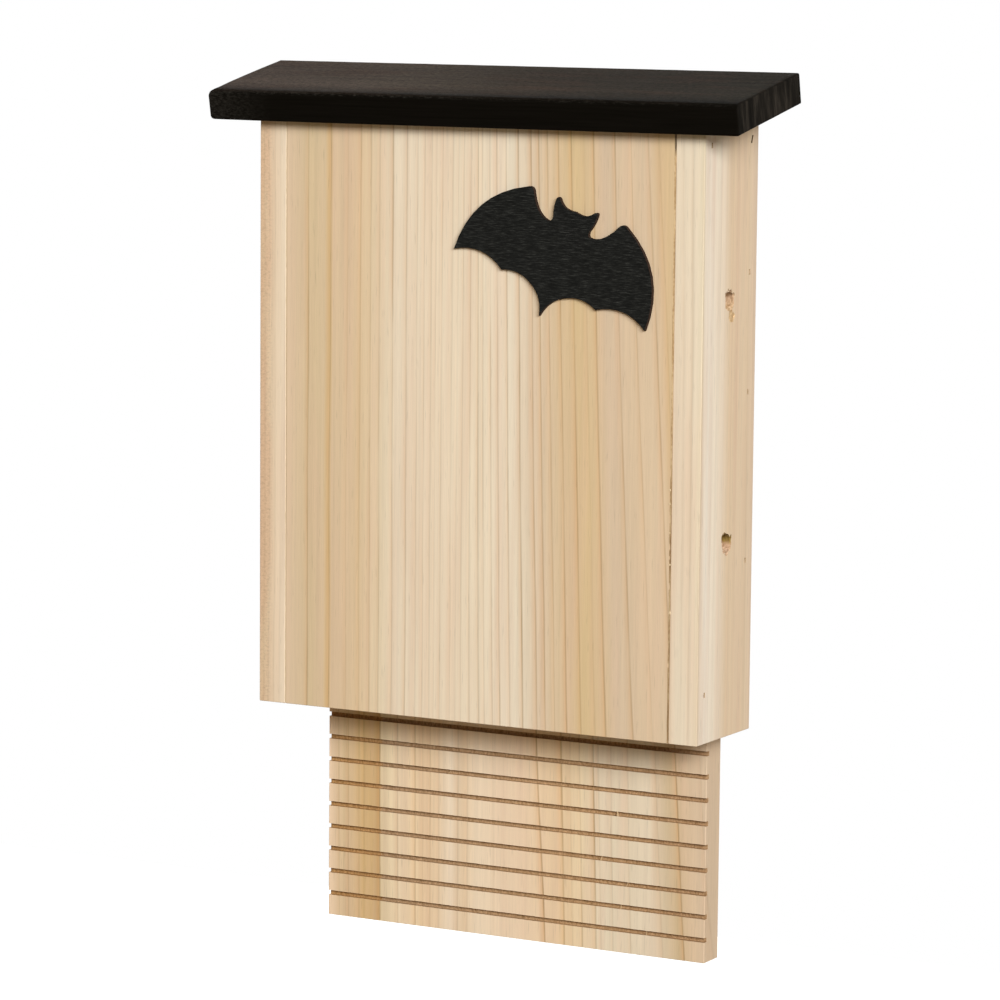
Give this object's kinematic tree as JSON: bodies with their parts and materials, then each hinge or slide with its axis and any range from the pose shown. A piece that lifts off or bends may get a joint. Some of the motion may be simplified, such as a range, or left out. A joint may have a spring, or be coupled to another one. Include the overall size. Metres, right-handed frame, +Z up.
{
  "type": "bat box",
  "caption": "Flat wooden box that bats climb into from below, with a pitched roof board, side vents and a grooved landing board; hangs on a wall screw.",
  "frame": {"origin": "on the wall plane, on the centreline of the back board's rear face, level with the box's lower edge", "axes": "+X to the right as seen from the front, +Y into the wall, +Z up"},
  "size_m": [0.25, 0.061, 0.3751],
  "materials": {
    "softwood_side": "planed and sanded, unfinished softwood",
    "softwood_front": "planed and sanded, unfinished softwood",
    "softwood_back": "planed softwood with saw-cut grooves",
    "black_stained_roof": "black stain, matt",
    "black_plywood": "black face, laser-cut brown edge",
    "steel_brad": "plain steel wire"
  },
  "bodies": {
    "root": {"side_panel_left": "softwood_side", "side_panel_right": "softwood_side", "front_panel": "softwood_front", "back_board": "softwood_back", "roof_board": "black_stained_roof", "bat_figure": "black_plywood", "brad_left_back_1": "steel_brad", "brad_left_back_2": "steel_brad", "brad_left_back_3": "steel_brad", "brad_left_back_4": "steel_brad", "brad_right_back_1": "steel_brad", "brad_right_back_2": "steel_brad", "brad_right_back_3": "steel_brad", "brad_right_back_4": "steel_brad", "brad_left_front_1": "steel_brad", "brad_left_front_2": "steel_brad", "brad_right_front_1": "steel_brad", "brad_right_front_2": "steel_brad", "brad_roof_left_1": "steel_brad", "brad_roof_left_2": "steel_brad", "brad_roof_right_1": "steel_brad", "brad_roof_right_2": "steel_brad"}
  },
  "joints": []
}
